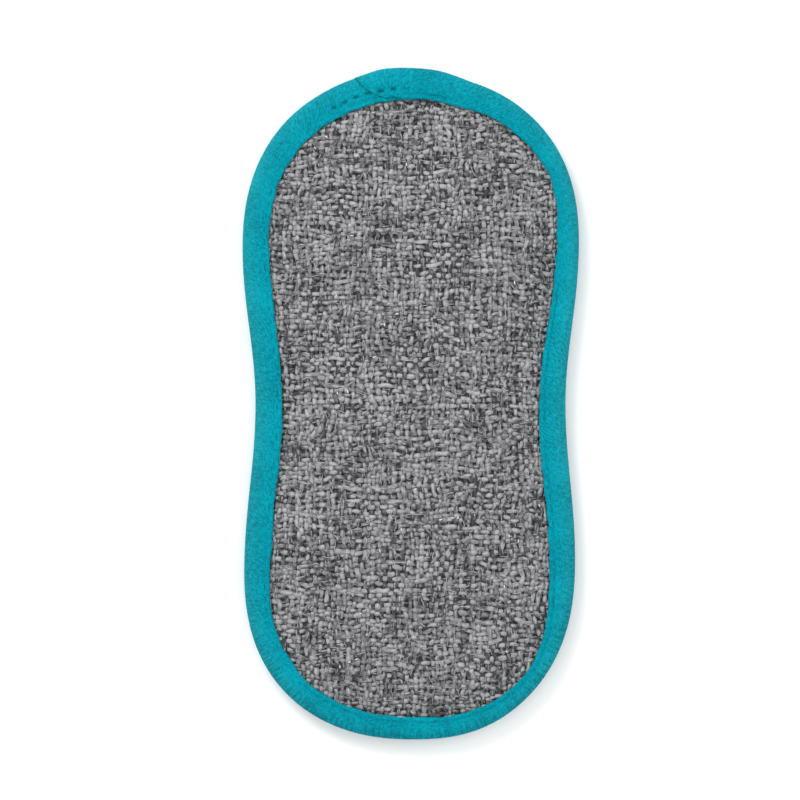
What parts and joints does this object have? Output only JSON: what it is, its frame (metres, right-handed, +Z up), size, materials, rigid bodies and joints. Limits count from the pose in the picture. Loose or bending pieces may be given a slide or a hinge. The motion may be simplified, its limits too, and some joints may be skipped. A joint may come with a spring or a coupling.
{
  "type": "cleaning sponge",
  "caption": "Two-lobed cleaning sponge: foam between a grey woven scouring face and a plain back cloth, bound all round with folded teal tape.",
  "frame": {"origin": "on the floor under the middle of the pad's outline, where its back cloth rests", "axes": "+Z up through the scouring face, +Y along the length towards the end with the tape's lap, +X to the right seen from above"},
  "size_m": [0.095, 0.1898, 0.012],
  "materials": {
    "scouring_weave": "coarse melange weave, matt with a few glossy threads",
    "foam": "open-cell, matt",
    "microfibre": "short looped pile, matt",
    "binding_tape": "fine ribbed knit, soft sheen"
  },
  "bodies": {
    "root": {"scouring_face": "scouring_weave", "foam_core": "foam", "back_cloth": "microfibre", "edge_binding": "binding_tape"}
  },
  "joints": []
}
